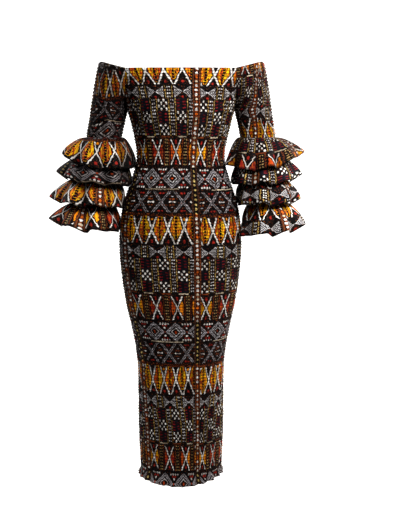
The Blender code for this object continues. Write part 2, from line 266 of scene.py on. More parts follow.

# Main creases of the panels and sleeves, in millimetres, with their middles.
# across is along the cloth, from a panel's middle or from a sleeve's seam at the front. depth is
# positive for a trough, and tilt is in degrees from the horizontal.
CREASE = "height across length width depth tilt"
CREASES = {
    "front": table(CREASE, [
        (-104, -128, 50, 6.5, 4.2, 38),
        (-122, -112, 62, 8, 3, 24),
        (-100, 126, 46, 6.5, 4, -40),
        (-127, 108, 58, 7.5, 2.8, -22),
        (-176, -70, 75, 7, 2.2, 9),
        (-205, 82, 64, 7.5, 2.6, -12),
        (-226, -60, 88, 6, 2.6, 4),
        (-243, 46, 70, 6.5, 2, -5),
        (-262, -100, 52, 7, 3, -14),
        (-281, 104, 50, 7, 2.6, 16),
        (-352, -20, 120, 9, 1.2, -3),
        (-640, -95, 70, 8.5, 2, 18),
        (-668, 80, 64, 8.5, 1.8, -15),
        (-772, -30, 100, 9, 1.8, 5),
        (-815, 70, 60, 7.5, 2.2, -8),
        (-905, -75, 70, 8.5, 1.8, 7),
        (-1005, 40, 85, 9, 1.5, -6),
        (-1090, -60, 60, 8, 2, 9),
    ]),
    "back": table(CREASE, [
        (-108, -122, 48, 6.5, 3.8, 35),
        (-112, 120, 52, 7, 3.6, -33),
        (-168, 55, 80, 7, 2, -8),
        (-205, -50, 90, 7, 3, 5),
        (-228, 36, 95, 6.5, 3.4, -3),
        (-251, -72, 66, 7, 3, -7),
        (-273, 88, 54, 7, 2.6, 11),
        (-560, -60, 80, 8.5, 2.4, 12),
        (-585, 70, 74, 8.5, 2.6, -14),
        (-745, 20, 90, 8, 2.6, 3),
        (-782, -45, 74, 7.5, 2.2, -6),
        (-900, 60, 70, 8.5, 1.6, -7),
        (-1020, -50, 80, 9, 1.4, 6),
    ]),
    "left": table(CREASE, [
        (-100, 33, 60, 7, 3.6, -35),
        (-128, 49.5, 50, 6, 3, -20),
        (-70, 125.4, 56, 7, 2.2, 18),
        (-150, 99, 60, 6, 2.6, 6),
        (-110, 257.4, 60, 7, 3, 24),
        (-160, 217.8, 54, 6, 2.2, -8),
    ]),
    "right": table(CREASE, [
        (-96, 39.6, 62, 7, 3.8, 36),
        (-126, 56.1, 52, 6, 3, 22),
        (-84, 135.3, 50, 7, 2, -16),
        (-148, 89.1, 64, 6, 2.6, -7),
        (-104, 244.2, 62, 7, 3, -26),
        (-158, 204.6, 50, 6, 2.4, 9),
    ]),
}


# ---------------------------------------------------------------- camera, light and room

CAMERA_PLACE = (0.078375, -3.0, -0.09989)
CAMERA_DOWN = 8.1869        # degrees below the horizontal
CAMERA_LENS = 49.464        # millimetres, like the sensor
CAMERA_SENSOR = 24.0
FLOOR_HEIGHT = -1.52
PAPER_FRONT = -0.6
PAPER_BACK = 2.6
PAPER_TOP = 3.0
PAPER_SIDE = 2.6            # from the middle
PAPER_BEND = 0.8
PAPER_STEPS = 12            # in its bend
PAPER_COLOUR = (0.93, 0.93, 0.93)

SOFTBOXES = table("name place aim size power colour", [
    ("key", (0.75, -1.15, 0.72), (0.0, 0.0, -0.10), 0.8, 55.0, (1.0, 0.99, 0.97)),
    ("fill", (-1.9, -2.2, 0.9), (0.0, 0.0, -0.3), 1.6, 5.0, (0.95, 0.97, 1.0)),
    ("rim", (1.8, 1.0, 0.2), (0.0, 0.0, -0.5), 1.2, 24.0, (1.0, 0.72, 0.48)),
    ("backdrop_left", (-1.9, 0.9, 0.9), (-0.5, 2.4, -0.7), 1.2, 75.0, (1.0, 1.0, 1.0)),
    ("backdrop_right", (1.9, 0.9, 0.9), (0.5, 2.4, -0.7), 1.2, 75.0, (1.0, 1.0, 1.0)),
])
AMBIENT = 0.05              # of the studio's white reaches the dress from all round
STUDIO_WHITE = (0.93, 0.94, 0.96)


def add_object(name, data):
    thing = bpy.data.objects.new(name, data)
    bpy.context.collection.objects.link(thing)
    return thing


def make_camera():
    data = bpy.data.cameras.new("camera")
    data.sensor_fit = "VERTICAL"
    data.sensor_height = CAMERA_SENSOR
    data.lens = CAMERA_LENS
    camera = add_object("camera", data)
    camera.location = CAMERA_PLACE
    camera.rotation_euler = (math.radians(90 - CAMERA_DOWN), 0.0, 0.0)
    bpy.context.scene.camera = camera


def make_lights():
    for box in SOFTBOXES:
        data = bpy.data.lights.new(box.name, "AREA")
        data.shape = "SQUARE"
        data.size = box.size
        data.energy = box.power
        data.color = box.colour
        light = add_object(box.name, data)
        light.location = box.place
        light.rotation_euler = (Vector(box.aim) - light.location).to_track_quat("-Z", "Y").to_euler()
        light.visible_camera = False
    world = bpy.data.worlds.new("studio")
    world.use_nodes = True
    tree = world.node_tree
    background = tree.nodes["Background"]
    seen = Field(tree, add_node(tree, "ShaderNodeLightPath").outputs["Is Camera Ray"])
    connect(tree, (*STUDIO_WHITE, 1.0), background.inputs["Color"])
    connect(tree, seen * (1.0 - AMBIENT) + AMBIENT, background.inputs["Strength"])
    bpy.context.scene.world = world
    bpy.context.scene.view_settings.view_transform = "Standard"


def make_room():
    """A pale floor that curves up into the backdrop, as one sheet of paper."""
    profile = [(PAPER_FRONT, FLOOR_HEIGHT)]
    for step in range(PAPER_STEPS + 1):
        turn = math.pi / 2 * step / PAPER_STEPS
        y = PAPER_BACK - PAPER_BEND * (1 - math.sin(turn))
        profile.append((y, FLOOR_HEIGHT + PAPER_BEND * (1 - math.cos(turn))))
    profile.append((PAPER_BACK, PAPER_TOP))
    points = [(x, y, z) for y, z in profile for x in (-PAPER_SIDE, PAPER_SIDE)]
    faces = [(2 * i, 2 * i + 1, 2 * i + 3, 2 * i + 2) for i in range(len(profile) - 1)]
    data = bpy.data.meshes.new("paper")
    data.from_pydata(points, [], faces)
    data.shade_smooth()
    material = bpy.data.materials.new("white_paper")
    material.use_nodes = True
    shader = material.node_tree.nodes["Principled BSDF"]
    shader.inputs["Base Color"].default_value = (*PAPER_COLOUR, 1.0)
    shader.inputs["Roughness"].default_value = 0.9
    data.materials.append(material)
    add_object("paper", data)


# ---------------------------------------------------------------- curves through the tables

def smooth_at(sizes, column, height):
    """A table's column at heights, on a smooth curve through the rows, whose heights fall."""
    rows = np.array([row.height for row in sizes])
    values = np.array([getattr(row, column) for row in sizes])
    height = np.clip(height, rows[-1], rows[0])
    last = len(sizes) - 1
    start = np.clip(np.searchsorted(-rows, -height, side="right") - 1, 0, last - 1)
    before = np.maximum(np.arange(last + 1) - 1, 0)
    after = np.minimum(np.arange(last + 1) + 1, last)
    slope = (values[after] - values[before]) / (rows[after] - rows[before])
    span = rows[start + 1] - rows[start]
    t = (height - rows[start]) / span
    ends = values[start] * (1 + 2 * t) * (1 - t) ** 2 + values[start + 1] * t * t * (3 - 2 * t)
    return ends + span * (slope[start] * t * (1 - t) ** 2 - slope[start + 1] * t * t * (1 - t))


def smooth_step(value):
    value = np.clip(value, 0.0, 1.0)
    return value * value * (3 - 2 * value)


def ramp(value, limits):
    """0 up to the lower limit, 1 from the upper one on, and smooth between them."""
    low, high = limits
    return smooth_step((value - low) / (high - low))


def dim(level, where):
    """Painted shade: 1 where the cloth isn't dimmed, and level where where is 1."""
    return 1 - (1 - level) * where


def swayed(points):
    points = points.copy()
    points[..., 0] += SWAY * np.maximum(0.0, 1 - points[..., 2] / SWAY_FROM)
    return points


def print_down(height):
    """The print's repeats counted down the body at heights."""
    starts = np.array(REPEAT_STARTS)
    return np.interp(-height, -starts, np.arange(len(starts)))


# ---------------------------------------------------------------- shells

# What a shell's surface carries, for each point of its outer grid: the place in the print, in
# repeats, the elastic rows counted from the top, and the painted light and shade on the cloth
Surface = namedtuple("Surface", "across down elastic shade")


def every(step, count):
    """Every so many numbers below count, with the last one always among them."""
    picks = list(range(0, count - 1, step))
    return np.array(picks + [count - 1])


def quads(ids):
    """Faces between neighbours of a grid of point numbers."""
    corners = [ids[:-1, :-1], ids[:-1, 1:], ids[1:, 1:], ids[1:, :-1]]
    return np.stack(corners, axis=-1).reshape(-1, 4).tolist()


def joined(fine, coarse, at):
    """Faces between a fine line of points and a coarse one, whose points stand at fine[at]."""
    faces = []
    for first, (low, high) in enumerate(zip(at, at[1:])):
        faces.append([*fine[low:high + 1].tolist(), int(coarse[first + 1]), int(coarse[first])])
    return faces


def make_shell(name, outer, inner, surface, row_step, material, closed=False, slit=None):
    """One closed cloth shell with rounded edges, from two grids of points that match.

    The inside keeps one row in row_step and one column in INSIDE_COLUMN_STEP. A panel's sides
    get faces. A tube is welded where its sides meet, and slit from its top to the row slit.
    """
    rows, columns = outer.shape[:2]
    kept_rows = every(row_step, rows)
    if slit is not None:
        kept_rows = np.unique(np.append(kept_rows, slit))
    kept_columns = every(INSIDE_COLUMN_STEP, columns)
    edges = []
    for edge, next_row in ((0, 1), (-1, -2)):
        away = outer[edge] - outer[next_row]
        away /= np.linalg.norm(away, axis=-1, keepdims=True)
        edges.append((outer[edge] + inner[edge]) / 2 + away * SHELL / 2)
    inner = inner[kept_rows][:, kept_columns]
    points = np.concatenate([outer.reshape(-1, 3), inner.reshape(-1, 3), *edges])

    ids = np.arange(len(points))
    outer_ids = ids[:rows * columns].reshape(rows, columns)
    inner_ids = ids[rows * columns:-2 * columns].reshape(inner.shape[:2])
    edge_ids = ids[-2 * columns:].reshape(2, columns)
    faces = quads(outer_ids) + quads(inner_ids)
    for edge, line in ((0, edge_ids[0]), (-1, edge_ids[1])):
        faces += quads(np.stack([outer_ids[edge], line]))
        faces += joined(line, inner_ids[edge], kept_columns)
    if not closed:
        last = rows if slit is None else slit + 1
        kept = kept_rows[kept_rows < last]
        for column in (0, -1):
            faces += joined(outer_ids[:, column], inner_ids[:, column], kept)
            for edge, line in ((0, edge_ids[0]), (-1, edge_ids[1])):
                if edge == 0 or slit is None:
                    corner = (outer_ids[edge, column], line[column], inner_ids[edge, column])
                    faces.append([int(point) for point in corner])

    data = bpy.data.meshes.new(name)
    data.from_pydata(points.tolist(), [], faces)
    spread = []
    for field in surface:
        field = np.broadcast_to(field, (rows, columns))
        picked = field[kept_rows][:, kept_columns]
        spread.append(np.concatenate([field.ravel(), picked.ravel(), field[0], field[-1]]))
    store(data, Surface(*spread))
    close_mesh(data, weld=closed or slit is not None)
    data.materials.append(material)
    return add_object(name, data)


def store(data, surface):
    """Keeps the place in the print as the UV map cloth, and the rest as attributes."""
    corners = np.empty(len(data.loops), dtype=np.int64)
    data.loops.foreach_get("vertex_index", corners)
    layer = data.uv_layers.new(name="cloth")
    places = np.stack([surface.across[corners], surface.down[corners]], axis=-1)
    layer.data.foreach_set("uv", places.ravel())
    for name in ("elastic", "shade"):
        values = data.attributes.new(name, "FLOAT", "POINT")
        values.data.foreach_set("value", getattr(surface, name).astype(np.float32))


def close_mesh(data, weld):
    mesh = bmesh.new()
    mesh.from_mesh(data)
    if weld:
        bmesh.ops.remove_doubles(mesh, verts=mesh.verts, dist=WELD)
    bmesh.ops.recalc_face_normals(mesh, faces=mesh.faces)
    mesh.to_mesh(data)
    mesh.free()
    data.shade_smooth()


# ---------------------------------------------------------------- the shirred surface

def rolling_noise(rng, rows, columns, reach, carry):
    """Uneven puckers: random along each row, smoothed over reach columns, partly carried down."""
    field = np.empty((rows, columns))
    kernel = np.hanning(2 * reach + 1)
    kernel /= np.linalg.norm(kernel)
    line = np.zeros(columns)
    for row in range(rows):
        fresh = np.convolve(rng.standard_normal(columns + 2 * reach), kernel, mode="valid")[:columns]
        line = carry * line + math.sqrt(1 - carry * carry) * fresh
        field[row] = line
    return field


def shirring(rng, elastic, columns):
    """How far a shirred surface stands out, and the painted light on its crowns, at rows that count the
    elastic rows.

    Between two rows of thread the cloth puffs out, pinched into uneven puckers.
    """
    puff = np.floor(elastic + 1e-6).astype(int)
    phase = elastic - puff
    fine = rolling_noise(rng, puff.max() + 1, columns, *FINE_PUCKERS)
    broad = rolling_noise(rng, puff.max() + 1, columns, *BROAD_PUCKERS)
    height = np.clip(PUFF_SHARE + PUFF_FINE * fine + PUFF_BROAD * broad, *PUFF_SHARES)
    arch = np.sin(np.pi * np.clip(phase, 0.0, 1.0)) ** PUFF_ROUND
    crown = np.clip(CROWN_GAIN * height[puff] - CROWN_LESS, 0.0, 1.0) * arch[:, None] ** 0.5
    return PUFF_LIFT + PUFF * arch[:, None] * height[puff], crown


def crease_relief(side, along, height):
    """The listed creases of one piece, on a grid that is so far along the cloth."""
    along, height = along / MILLIMETRE, height / MILLIMETRE
    total = np.zeros(np.broadcast(along, height).shape)
    for crease in CREASES[side]:
        tilt = math.radians(crease.tilt)
        right, up = along - crease.across, height - crease.height
        u = right * math.cos(tilt) + up * math.sin(tilt)
        v = up * math.cos(tilt) - right * math.sin(tilt)
        v = v + CREASE_BOW * crease.length * (u / crease.length) ** 2
        trough = np.exp(-(v / crease.width) ** 2)
        banks = BANK * np.exp(-((np.abs(v) / crease.width - BANK_PLACE) ** 2) * BANK_NARROW)
        total -= crease.depth * (trough - banks) * smooth_step(CREASE_END - np.abs(u) / (crease.length / 2))
    return total * MILLIMETRE


def shirred_heights(top, bottom):
    """Heights of the rows of points between two heights, and the elastic rows counted there."""
    puffs = round((top - bottom) / SHIRR_PITCH)
    elastic = np.arange(puffs * SHIRR_STEPS + 1) / SHIRR_STEPS
    return top + (bottom - top) * elastic / puffs, elastic


def lowest_around(relief):
    """The least relief in each point's neighbourhood, so that the inside stays inside."""
    for axis, reach in ((0, SHIRR_STEPS), (1, INSIDE_COLUMN_STEP)):
        padded = np.pad(relief, [(reach, reach) if axis == a else (0, 0) for a in (0, 1)], mode="edge")
        windows = np.lib.stride_tricks.sliding_window_view(padded, 2 * reach + 1, axis=axis)
        relief = windows.min(axis=-1)
    return relief


def lap_seams(outer, inner, reach):
    """Moves the inside's two side edges along the cloth, so that light can't pass a seam.

    Where reach is negative they draw back, a little further, to leave the next shell room.
    """
    reach = np.where(reach < 0, LAP_ROOM * reach, reach)[:, None]
    for column, next_column in ((0, 1), (-1, -2)):
        along = outer[:, column] - outer[:, next_column]
        inner[:, column] += reach * along / np.linalg.norm(along, axis=-1, keepdims=True)


def seam_fade(distance, height):
    """How much relief is left so far from a seam; near the armpit it fades over a longer way."""
    near_armpit = np.exp(-((height - ARMPIT) / ARMPIT_REACH) ** 2)
    return smooth_step(distance / (SEAM_FADE * (1 + ARMPIT_CALM * near_armpit)))


# ---------------------------------------------------------------- body panels

def panel_outline(facing, height, flare_side=0.0, flare_middle=0.0):
    """One row of a panel's form, its points evenly spaced along the cloth.

    Returns the points, the normals, the distances from the middle along the cloth, and the
    length of the whole quarter oval, which goes on past the armhole seam.
    """
    depth = smooth_at(BODY, facing, height)
    half_width = smooth_at(BODY, "half_width", height)
    last = math.pi / 2
    if height > ARMPIT:
        seam_x = smooth_at(SLEEVE, "inner", height) - SHOWN_GAP / 2
        opening = np.radians(smooth_at(SLEEVE, "opening", height))
        seam_y = smooth_at(SLEEVE, "depth", height) * np.sin(opening)
        rest = (1 - (seam_y / depth) ** BODY_ROUNDNESS) ** (1 / BODY_ROUNDNESS)
        half_width = seam_x / rest
        last = math.asin((seam_x / half_width) ** (BODY_ROUNDNESS / 2))
    half_width = half_width + flare_side
    depth = depth + flare_middle

    def oval(angle):
        return (half_width * np.sin(angle) ** (2 / BODY_ROUNDNESS),
                depth * np.maximum(np.cos(angle), 0.0) ** (2 / BODY_ROUNDNESS))

    angle = np.linspace(0.0, math.pi / 2, OVAL_STEPS + 1)
    x, y = oval(angle)
    metres = np.concatenate([[0.0], np.cumsum(np.hypot(np.diff(x), np.diff(y)))])
    place = np.interp(last, angle, metres) * np.linspace(-1.0, 1.0, PANEL_COLUMNS + 1)
    x, y = oval(np.interp(np.abs(place), metres, angle))
    lean = BODY_ROUNDNESS - 1
    normal = np.stack([np.sign(place) * (x / half_width) ** lean / half_width, (y / depth) ** lean / depth])
    return np.stack([x * np.sign(place), y]), normal / np.hypot(*normal), place, metres[-1]


def frill_waves(rng, shares, columns):
    """The frill's ungathered waves, uneven in height, with small ones between them at the hem."""
    turn = 2 * math.pi * FRILL_WAVES * np.linspace(0.0, 1.0, columns)
    swing = 1 + FRILL_SWING * rolling_noise(rng, 1, columns, FRILL_SWING_REACH, 0.0)[0]
    small = FRILL_SMALL_WAVE * rolling_noise(rng, 1, columns, FRILL_SMALL_REACH, 0.0)[0]
    return shares[:, None] * FRILL_WAVE * np.sin(turn) * swing + shares[:, None] ** 2 * small


def panel_surface(facing, way, height, counted, crown):
    """A panel's place in the print and its painted light and shade, by the way from its middle, -1 or 1 at
    its sides.
    """
    parts = QUARTER_PARTS * way
    if facing == "back":
        parts = 2 * QUARTER_PARTS - parts
    across = (parts - smooth_at(STRIPE, "place", height)) / REPEAT_PARTS
    by_hem = ramp(-height, HEM_SQUEEZE_DOWN)
    across = across + HEM_SQUEEZE * by_hem * np.clip(across, *HEM_SQUEEZE_REACH)
    by_neck = 1 - smooth_step(-height / NECK_BAND)
    sag = np.interp(-height, (0.0, -LAST_ELASTIC), PRINT_SAG) * way ** 2
    sag += NECK_SQUEEZE * by_neck + (PRINT_SLIP + NECK_SLIP * by_neck) * ramp(across, STRIPE_EDGE)
    shade = (DIP_SHADE + (1 - DIP_SHADE) * crown) * dim(FLANK_SHADE, ramp(np.abs(way), FLANKS))
    return Surface(across, print_down(height) - sag, counted, shade)


def make_panel(facing, material, seed):
    rng = np.random.default_rng(seed)
    heights, elastic = shirred_heights(0.0, LAST_ELASTIC)
    shares = np.arange(1, FRILL_ROWS + 1) / FRILL_ROWS
    shirred = len(heights)
    outlines = [panel_outline(facing, height) for height in heights]
    outlines += [panel_outline(facing, LAST_ELASTIC, FRILL_FLARE_SIDE * share, FRILL_FLARE_MIDDLE * share)
                 for share in shares]
    form, normal = (np.stack([row[part] for row in outlines], axis=1) for part in (0, 1))
    place = np.stack([row[2] for row in outlines])
    quarter = np.array([row[3] for row in outlines])[:, None]

    across_panel = np.linspace(-1.0, 1.0, place.shape[1])
    toward_middle = np.maximum(np.cos(across_panel * math.pi / 2), 0.0) ** 3
    drop = FRILL_DROP_SIDE + (FRILL_DROP_MIDDLE - FRILL_DROP_SIDE) * toward_middle
    drop -= FRILL_TILT * smooth_step(across_panel)
    z = np.concatenate([np.broadcast_to(heights[:, None], (shirred, len(drop))),
                        LAST_ELASTIC - shares[:, None] * drop])

    relief, crown = np.zeros(place.shape), np.ones(place.shape)
    relief[:shirred], crown[:shirred] = shirring(rng, elastic, place.shape[1])
    relief[shirred:] = frill_waves(rng, shares, place.shape[1])
    # painted light and shade on the frill: darker at its top and hem, lighter and darker on its waves
    crown[shirred:] = FRILL_CROWN + FRILL_CROWN_BELOW * ramp(shares[:, None], FRILL_TOP)
    crown[shirred:] += FRILL_CROWN_WAVE * np.clip(relief[shirred:] / FRILL_WAVE, -1.0, 1.0)
    crown[shirred:] -= FRILL_CROWN_HEM * ramp(shares[:, None], FRILL_HEM)
    relief += crease_relief(facing, place, z)
    to_seam = np.abs(place[:, -1:]) - np.abs(place)
    relief *= seam_fade(to_seam, z)
    relief[0] *= NECK_SHARE

    toward = -1.0 if facing == "front" else 1.0
    surfaces = []
    for grow in (relief, lowest_around(relief) - SHELL):
        x, y = form + normal * grow
        y = toward * np.maximum(y, SHOWN_GAP / 2)
        surfaces.append(swayed(np.stack([x, y, z], axis=-1)))
    lap = SEAM_LAP * np.clip((z[:, 0] - ARMPIT) / LAP_FADE, -1.0, 1.0)
    lap[shirred:] = 0.0
    lap_seams(*surfaces, np.abs(lap) if facing == "front" else lap)
    counted = np.append(elastic, elastic[-1] + shares * FRILL_LINES)[:, None]
    surface = panel_surface(facing, place / quarter, z, counted, crown)
    return make_shell("dress_" + facing + "_cloth", *surfaces, surface, SHIRR_STEPS, material)


# ---------------------------------------------------------------- sleeves

def both_sides(form, normal, heights, side):
    """A shell's outer and inner grids of points, at two heights over a form on the right side."""
    grids = []
    for height in heights:
        points = form + normal * height[..., None]
        points[..., 0] *= SIDES[side]
        grids.append(swayed(points))
    return grids


def sleeve_form(height, share):
    """Points of the right sleeve's rings at heights, and their normals."""
    outer = smooth_at(SLEEVE, "outer", height)
    inner = smooth_at(SLEEVE, "inner", height) + SHOWN_GAP / 2
    depth = smooth_at(SLEEVE, "depth", height)
    opening = np.where(height > ARMPIT + SMALL, np.radians(smooth_at(SLEEVE, "opening", height)), 0.0)
    width = (outer - inner) / (1 + np.cos(opening))
    angle = (math.pi - opening) * (2 * share - 1)
    normal = np.stack([np.cos(angle) / width, np.sin(angle) / depth, np.zeros(angle.shape)], axis=-1)
    normal /= np.linalg.norm(normal, axis=-1, keepdims=True)
    peak = np.sin(math.pi * share) - SHOULDER_DIP * np.exp(-((share - 0.5) / SHOULDER_DIP_REACH) ** 2)
    climb = SHOULDER_RISE * np.maximum(0.0, 1 + height / -ARMPIT) * peak
    form = np.stack([outer - width * (1 - np.cos(angle)), depth * np.sin(angle), height + climb], axis=-1)
    return form, normal


def make_sleeve(look, material, seed):
    rng = np.random.default_rng(seed)
    side = look.side
    columns = SLEEVE_COLUMNS + 1
    first_ruffle, cuff = RUFFLES[0].seam, SLEEVE[-1].height
    above, counted_above = shirred_heights(0.0, ARMPIT)
    below, counted_below = shirred_heights(ARMPIT, first_ruffle)
    plain = np.linspace(first_ruffle, cuff, SLEEVE_PLAIN_ROWS + 1)[1:]
    height = np.concatenate([above, below[1:], plain])[:, None]
    elastic = np.concatenate([counted_above, counted_above[-1] + counted_below[1:]])
    share = np.linspace(0.0, 1.0, columns)[None, :]
    form, normal = sleeve_form(height, share)

    shirred = len(elastic)
    relief, crown = np.zeros(form.shape[:2]), np.ones(form.shape[:2])
    relief[:shirred], crown[:shirred] = shirring(rng, elastic, columns)
    relief += crease_relief(side, share * SLEEVE_ROUND, height)
    relief *= smooth_step((height - first_ruffle) / SEAM_FADE)
    by_seam = 1 - seam_fade(np.minimum(share, 1 - share) * SLEEVE_ROUND, height)
    by_armhole = 1 - smooth_step((ARMPIT - height) / ARMPIT_FADE)
    relief *= 1 - by_seam * by_armhole
    slit = len(above) - 1
    relief[slit:, -1] = relief[slit:, 0]
    relief[0] *= NECK_SHARE

    surfaces = both_sides(form, normal, (relief, lowest_around(relief) - SHELL), side)
    lap_seams(*surfaces, -SEAM_LAP * np.clip((height[:, 0] - ARMPIT) / LAP_FADE, 0.0, 1.0))
    counted = np.append(elastic, elastic[-1] + (first_ruffle - plain) / SHIRR_PITCH)[:, None]
    waves = np.sin(2 * math.pi * (share * WARPS_ROUND - height * WARPS_DOWN))
    warp = SLEEVE_WARP * waves * np.sin(math.pi * share)
    across = SIDES[side] * (share - look.stripe) * look.repeats + warp
    down = look.level + (form[..., 2] - look.height) / look.drop + 0.5 * warp
    # painted shade: darker between the puckers and on the side next to the body, times the sleeve's painted
    # light
    by_body = ramp(np.abs(share - 0.5), SLEEVE_INNER) * ramp(-height, SLEEVE_INNER_DOWN)
    shade = look.tone * (DIP_SHADE + (1 - DIP_SHADE) * crown) * dim(SLEEVE_INNER_SHADE, by_body)
    surface = Surface(across, down, counted, shade)
    return make_shell("sleeve_" + side + "_cloth", *surfaces, surface, SHIRR_STEPS, material, slit=slit)


# ---------------------------------------------------------------- ruffles

def body_reach(height, y):
    """Distance from the middle to the outside of the body at a height and a depth."""
    depth = np.where(y < 0, smooth_at(BODY, "front", height), smooth_at(BODY, "back", height))
    inside = np.maximum(1 - (np.abs(y) / depth) ** BODY_ROUNDNESS, 0.0)
    return smooth_at(BODY, "half_width", height) * inside ** (1 / BODY_ROUNDNESS)


def give_way(x, least):
    """x, or least where that is more, with a soft change from one to the other."""
    spread = (x - least) / CLEARANCE_BLEND
    return np.where(spread > 30, x, least + CLEARANCE_BLEND * np.log1p(np.exp(np.minimum(spread, 30))))


def side_blend(angle, out, front, inward):
    """A value that goes smoothly from the outer side, at angle 0, to the front and inner side."""
    facing = np.cos(angle)
    return front + (np.where(facing > 0, out, inward) - front) * facing * facing


def ruffle_middle(ruffle, share, angle, wave):
    """Points halfway through a ruffle's cloth on the right side, moved out by its waves."""
    outer = smooth_at(SLEEVE, "outer", ruffle.seam)
    inner = smooth_at(SLEEVE, "inner", ruffle.seam)
    centre = (outer + inner) / 2
    off_sleeve = SEAM_GAP + CLOTH / 2
    start_x = (outer - inner) / 2 + off_sleeve
    start_y = smooth_at(SLEEVE, "depth", ruffle.seam) + off_sleeve
    reach = side_blend(angle, ruffle.reach_out, ruffle.reach_front, ruffle.reach_in)
    drop = side_blend(angle, ruffle.drop_out, ruffle.drop_front, ruffle.drop_in)
    out = (share ** PUFF_OUT - ruffle.hem_turn * share ** 6) / (1 - ruffle.hem_turn)
    x = centre + np.cos(angle) * (start_x + (reach - start_x) * out + wave)
    y = np.sin(angle) * (start_y + (reach - start_y) * out + wave)
    free = 1 - np.maximum(-np.cos(angle), 0.0) ** 0.5
    z = ruffle.seam - drop * share ** PUFF_DOWN + HEM_LIFT * wave * share * free
    x = np.where(share > 0, give_way(x, body_reach(z, y) + BODY_CLEARANCE), x)
    return np.stack([x, y, z], axis=-1)


def ruffle_folds(rng, ruffle, share, angle):
    """The main waves, uneven folds over them, the gathers below the seam, and soft dents.

    Returns how far they stand out, and the painted shade they leave on the cloth: darker in the troughs, on
    the side next to the body and between the gathers.
    """
    reach = RUFFLE_WAVE * share ** WAVE_GROWTH
    turn = RUFFLE_WAVES * angle + ruffle.turn
    sharp = 2 * np.abs(np.sin(turn / 2 + math.pi / 4)) ** WAVE_SHARP - 1
    folds = reach * (0.5 * np.sin(turn) + 0.5 * sharp)
    for wave in SMALL_WAVES:
        turn, swing, lean = rng.uniform(*zip((0.0, 2 * math.pi), SMALL_WAVE_SWING, SMALL_WAVE_LEAN))
        height = wave.height * swing * share ** SMALL_WAVE_GROWTH
        folds += height * np.sin(wave.count * (angle + lean * share) + turn)
    drift = GATHER_DRIFT * np.sin(GATHER_DRIFTS * angle + rng.uniform(0, 6))
    gathers = np.sin(GATHERS * angle + drift)
    fade = np.exp(-share / GATHER_REACH) * smooth_step(share / GATHER_START)
    folds += GATHER_DEPTH * gathers * fade
    for _ in range(DENTS):
        middle, high = rng.uniform(0, 2 * math.pi), rng.uniform(*DENT_PLACE)
        wide, tall = rng.uniform(*DENT_WIDTH), rng.uniform(*DENT_LENGTH)
        aside = np.angle(np.exp(1j * (angle - middle)))
        folds += rng.uniform(*DENT_HEIGHT) * np.exp(-(aside / wide) ** 2 - ((share - high) / tall) ** 2)
    folds[:, -1] = folds[:, 0]
    trough = smooth_step(0.5 - folds / (2 * reach + 0.004))
    light = dim(FOLD_SHADE, trough) * dim(INNER_SHADE, ramp(-np.cos(angle), RUFFLE_INNER))
    return folds, light * (1 - GATHER_SHADE * (0.5 - 0.5 * gathers) * fade)


def make_ruffle(ruffle, material, seed):
    """A ruffle, and its flat cut: the hem isn't gathered, so it is as long as the cut is wide."""
    rng = np.random.default_rng(seed)
    share, angle = np.meshgrid(np.linspace(0.0, 1.0, RUFFLE_ROWS + 1),
                               np.linspace(0.0, 2 * math.pi, RUFFLE_COLUMNS + 1), indexing="ij")
    folds, light = ruffle_folds(rng, ruffle, share, angle)
    if ruffle.tier == 1:
        clear = np.where(angle < math.pi, TOP_CLEAR_BACK, TOP_CLEAR_FRONT)
        folds += clear * (share * np.sin(angle)) ** 2
    middle = ruffle_middle(ruffle, share, angle, folds)
    middle[:, -1] = middle[:, 0]
    down = np.gradient(middle, axis=0)
    wrapped = np.concatenate([middle[:, -2:-1], middle, middle[:, 1:2]], axis=1)
    normal = np.cross(down, wrapped[:, 2:] - wrapped[:, :-2])
    normal /= np.linalg.norm(normal, axis=-1, keepdims=True)
    half = SHELL / 2 * (1 + 0.5 * ramp(share, RUFFLE_ROLL))
    surfaces = both_sides(middle, normal, (half, -half), ruffle.side)
    across = SIDES[ruffle.side] * (angle / (2 * math.pi) - ruffle.print_turn) * RUFFLE_REPEATS
    down_print = ruffle.print_top + share * RUFFLE_PRINT_DROP
    # painted light and shade: the ruffle's own level, its folds, and darker at the rolled hem
    shade = ruffle.tone * light * dim(HEM_SHADE, ramp(share, RUFFLE_HEM))
    surface = Surface(across, down_print, share, shade)
    name = f"ruffle_{ruffle.side}_{ruffle.tier}_cloth"
    hem = np.linalg.norm(np.diff(middle[-1], axis=0), axis=-1).sum()
    depth = np.linalg.norm(np.diff(middle, axis=0), axis=-1).sum(axis=0).mean()
    return make_shell(name, *surfaces, surface, 1, material, closed=True), (float(hem), float(depth))


# ---------------------------------------------------------------- numbers in shader nodes

def connect(tree, value, target):
    """Gives an input its value: a field, another node's output, or a number or colour."""
    if isinstance(value, Field):
        value = value.socket
    if isinstance(value, bpy.types.NodeSocket):
        tree.links.new(value, target)
    else:
        target.default_value = value


def add_node(tree, kind, inputs=None, **settings):
    """A shader node with its inputs, by name or number, and its settings."""
    node = tree.nodes.new(kind)
    for name, value in settings.items():
        setattr(node, name, value)
    for slot, value in (inputs or {}).items():
        connect(tree, value, node.inputs[slot])
    return node


def operator(operation, swapped=False):
    """A method of Field that makes a Math node of a field and perhaps another number."""
    def method(*values):
        return math_node(operation, *(reversed(values) if swapped else values))
    return method


class Field:
    """A number that varies over a surface: the output of a shader node."""

    def __init__(self, tree, socket):
        self.tree = tree
        self.socket = socket

    __add__ = __radd__ = operator("ADD")
    __sub__ = operator("SUBTRACT")
    __rsub__ = operator("SUBTRACT", swapped=True)
    __mul__ = __rmul__ = __and__ = operator("MULTIPLY")
    __or__ = operator("MAXIMUM")
    __lt__ = operator("LESS_THAN")
    __gt__ = operator("GREATER_THAN")
    __abs__ = operator("ABSOLUTE")

    def __invert__(self):
        return 1.0 - self


